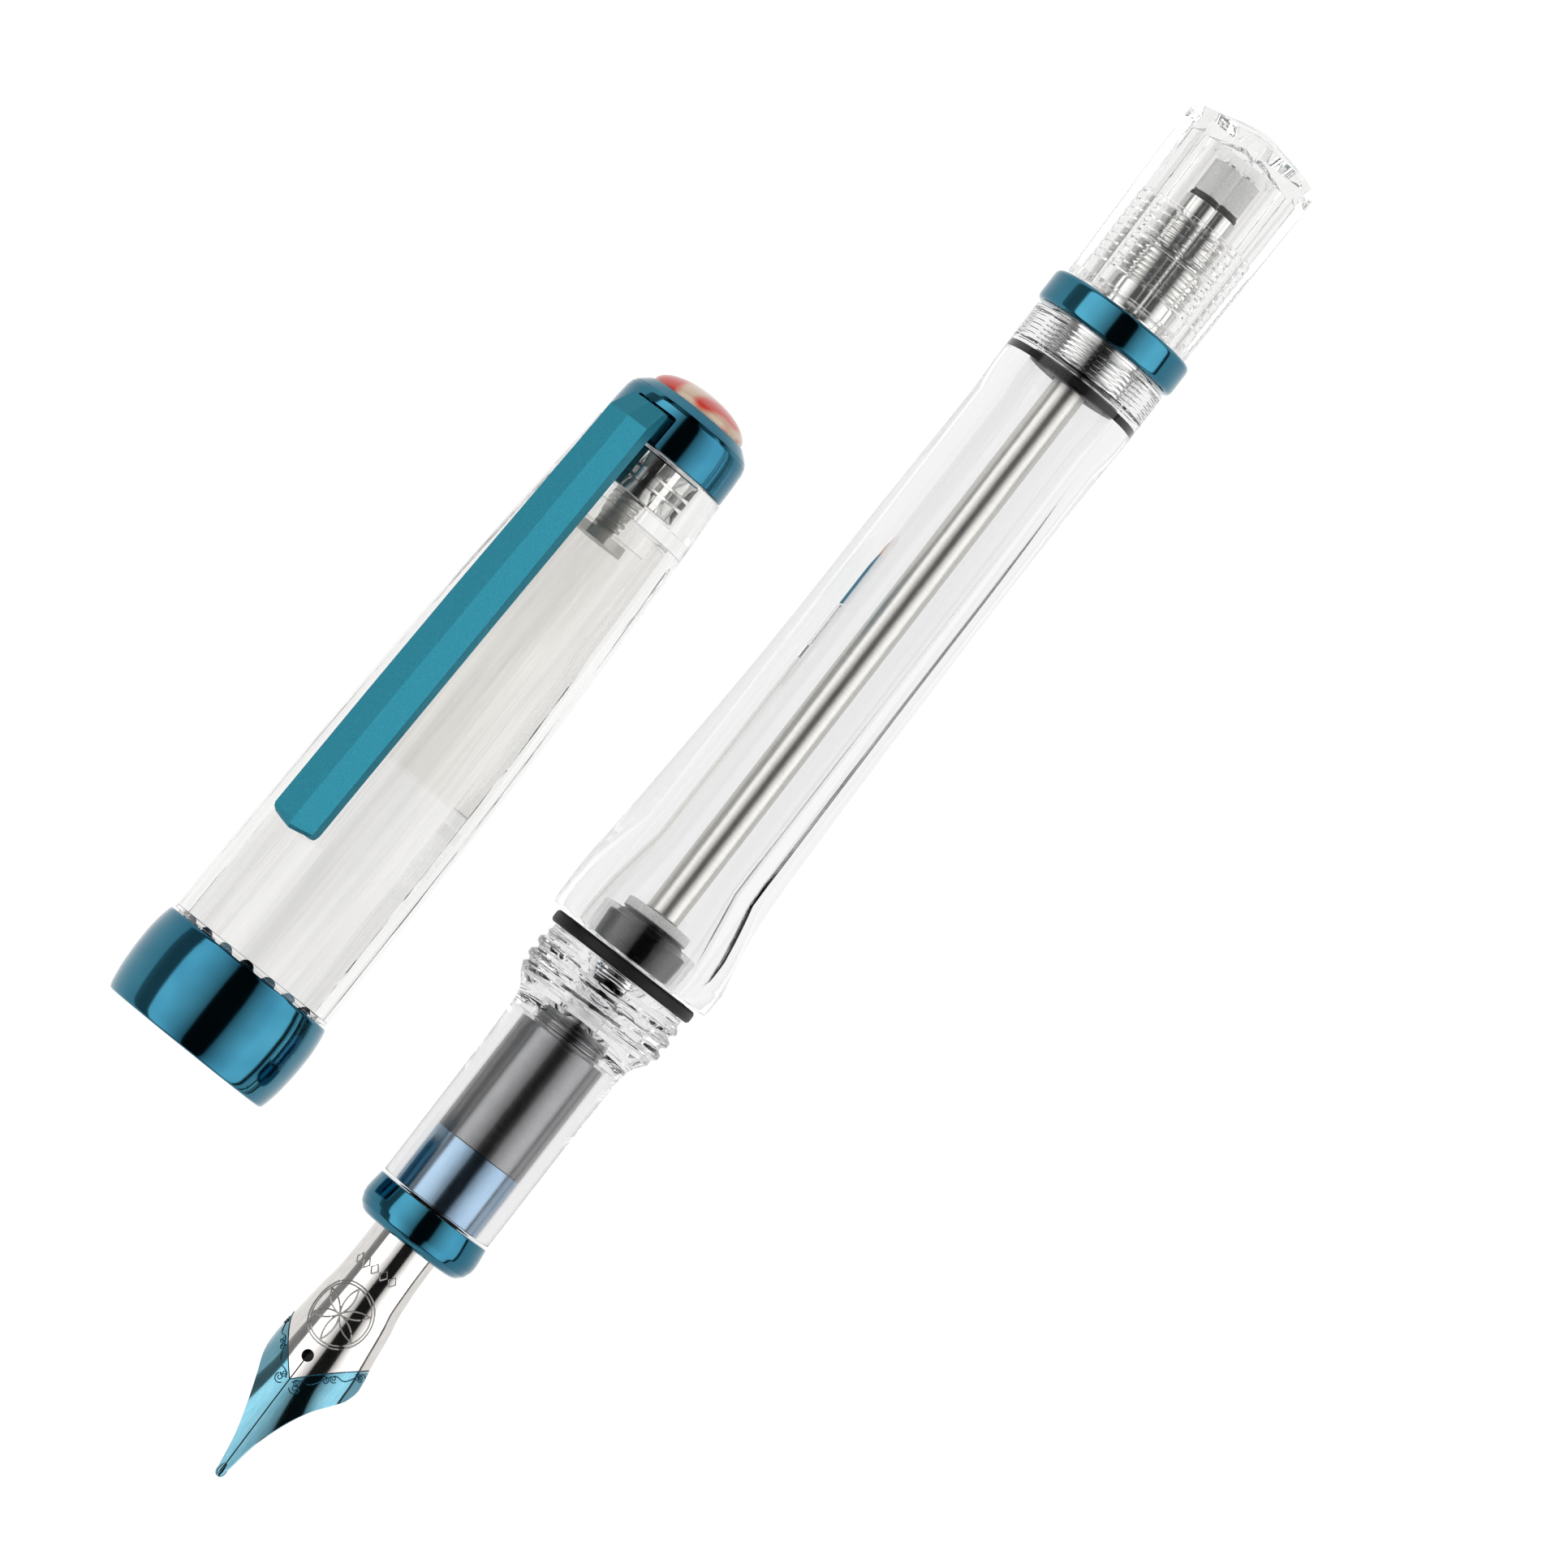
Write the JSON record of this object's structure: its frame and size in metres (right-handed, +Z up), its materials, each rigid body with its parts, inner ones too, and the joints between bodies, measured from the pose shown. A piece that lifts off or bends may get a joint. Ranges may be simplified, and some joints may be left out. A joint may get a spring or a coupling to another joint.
{
  "type": "fountain pen",
  "caption": "Clear plunger-filled fountain pen with plated trim, uncapped, with its clip cap lying beside it.",
  "frame": {"origin": "middle of the footprint of the pen and its cap, on the table", "axes": "+X along the pen from the nib to the filler knob, +Y from the pen to the cap, +Z up from the table"},
  "size_m": [0.1312, 0.038, 0.0162],
  "materials": {
    "clear_acrylic": "polished, clear",
    "milky_plastic": "slightly milky, clear",
    "teal_plating": "mirror-bright teal plating",
    "satin_teal": "fine satin teal plating",
    "blue_plating": "mirror-bright pale blue plating",
    "nib_steel": "polished, with a teal-plated point",
    "turned_steel": "finely turned",
    "dark_sleeve": "dark satin",
    "feed_plastic": "moulded, matte",
    "white_plastic": "moulded, matte",
    "black_rubber": "smooth moulded rubber",
    "red_jewel": "clear domed resin over red"
  },
  "bodies": {
    "barrel_unit": {"barrel": "clear_acrylic", "rear_collar": "turned_steel", "rear_trim_ring": "teal_plating", "chamber_o_ring": "black_rubber", "rod_seal": "black_rubber"},
    "section_ring": {"section_o_ring": "black_rubber"},
    "section_unit": {"grip_section": "clear_acrylic", "grip_trim_ring": "teal_plating", "nib_collar": "blue_plating", "nib_housing": "dark_sleeve"},
    "nib_unit": {"nib": "nib_steel", "feed": "feed_plastic"},
    "piston_unit": {"piston_seal": "black_rubber", "piston_washer": "white_plastic"},
    "plunger_unit": {"plunger_rod": "turned_steel", "piston_screw": "turned_steel", "filler_knob": "clear_acrylic", "knob_anchor": "turned_steel", "knob_washer": "black_rubber", "knob_nut": "turned_steel"},
    "cap_liner": {"inner_cap": "milky_plastic"},
    "cap_shell": {"cap_tube": "clear_acrylic", "cap_band": "teal_plating", "cap_screw": "turned_steel", "finial_insert": "turned_steel", "cap_crown_ring": "teal_plating", "finial_jewel": "red_jewel"},
    "clip_arm": {"clip": "satin_teal"}
  },
  "joints": [
    {"name": "section_draw", "type": "slide", "parent": "barrel_unit", "child": "section_ring", "axis": [-0.9998, 0, 0.0174], "range_m": [0, 0.03]},
    {"name": "section_turn", "type": "hinge", "parent": "section_ring", "child": "section_unit", "pos_m": [-0.01564, -0.01165, 0.00742], "axis": [0.9998, 0, -0.0174], "continuous": true},
    {"name": "nib_pull", "type": "slide", "parent": "section_unit", "child": "nib_unit", "axis": [-0.9998, 0, 0.0174], "range_m": [0, 0.02]},
    {"name": "plunger_pull", "type": "slide", "parent": "barrel_unit", "child": "piston_unit", "axis": [0.9998, 0, -0.0174], "range_m": [0, 0.05]},
    {"name": "knob_turn", "type": "hinge", "parent": "piston_unit", "child": "plunger_unit", "pos_m": [0.05435, -0.01165, 0.0062], "axis": [0.9998, 0, -0.0174], "continuous": true},
    {"name": "cap_slide", "type": "slide", "parent": "barrel_unit", "child": "cap_liner", "axis": [-0.9998, 0.0199, 0], "range_m": [0, 0.05]},
    {"name": "cap_turn", "type": "hinge", "parent": "cap_liner", "child": "cap_shell", "pos_m": [-0.04123, 0.0112, 0.00838], "axis": [0.999, -0.0199, -0.041], "continuous": true},
    {"name": "clip_flex", "type": "hinge", "parent": "cap_shell", "child": "clip_arm", "pos_m": [0.01873, 0.01244, 0.0103], "axis": [-0.0025, 0.8748, -0.4844], "range_deg": [0, 3], "stiffness_Nm_per_rad": 3}
  ]
}
